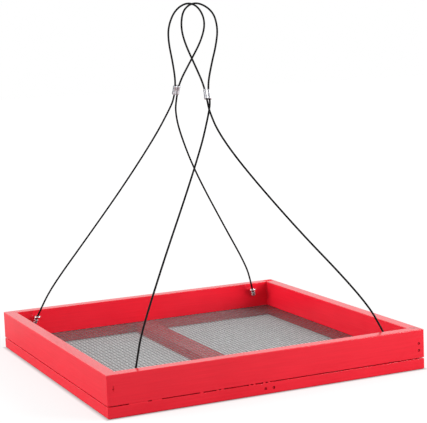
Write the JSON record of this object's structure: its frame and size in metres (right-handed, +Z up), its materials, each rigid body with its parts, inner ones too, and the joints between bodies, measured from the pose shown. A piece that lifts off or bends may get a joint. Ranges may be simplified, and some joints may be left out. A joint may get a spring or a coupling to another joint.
{
  "type": "hanging platform bird feeder",
  "caption": "Shallow square painted timber tray with a wire mesh floor, hung by looped coated cables from small screw eyes; holds bird feed.",
  "frame": {"origin": "middle of the tray's underside, in the plane it stands on", "axes": "+Z up; the front wall, which the picture shows in full, is at -Y; +X to the right along it"},
  "size_m": [0.305, 0.305, 0.3396],
  "materials": {
    "red_paint": "satin red paint over planed softwood",
    "nail_steel": "dull wire nails, set below the face",
    "eye_steel": "bright zinc plate",
    "crimp_aluminium": "bright, with crimping marks",
    "cable_coating": "smooth black coating on wire cable",
    "mesh_wire": "galvanised woven wire"
  },
  "bodies": {
    "tray": {"front_board": "red_paint", "back_board": "red_paint", "left_board": "red_paint", "right_board": "red_paint", "front_strip": "red_paint", "back_strip": "red_paint", "left_strip": "red_paint", "right_strip": "red_paint", "cross_brace": "red_paint", "mesh_screen": "mesh_wire", "corner_nails": "nail_steel", "brace_nails": "nail_steel", "strip_nails": "nail_steel", "front_left_eye": "eye_steel", "front_right_eye": "eye_steel", "back_left_eye": "eye_steel", "back_right_eye": "eye_steel"},
    "front_hanger": {"front_cable": "cable_coating", "front_ferrule": "crimp_aluminium", "front_left_stop": "crimp_aluminium", "front_right_stop": "crimp_aluminium"},
    "back_hanger": {"back_cable": "cable_coating", "back_ferrule": "crimp_aluminium", "back_left_stop": "crimp_aluminium", "back_right_stop": "crimp_aluminium"}
  },
  "joints": [
    {"name": "front_swing", "type": "hinge", "parent": "tray", "child": "front_hanger", "pos_m": [0, -0.1365, 0.031], "axis": [1, 0, 0], "range_deg": [0, 55]},
    {"name": "back_swing", "type": "hinge", "parent": "tray", "child": "back_hanger", "pos_m": [0, 0.1365, 0.031], "axis": [-1, 0, 0], "range_deg": [0, 55]}
  ]
}
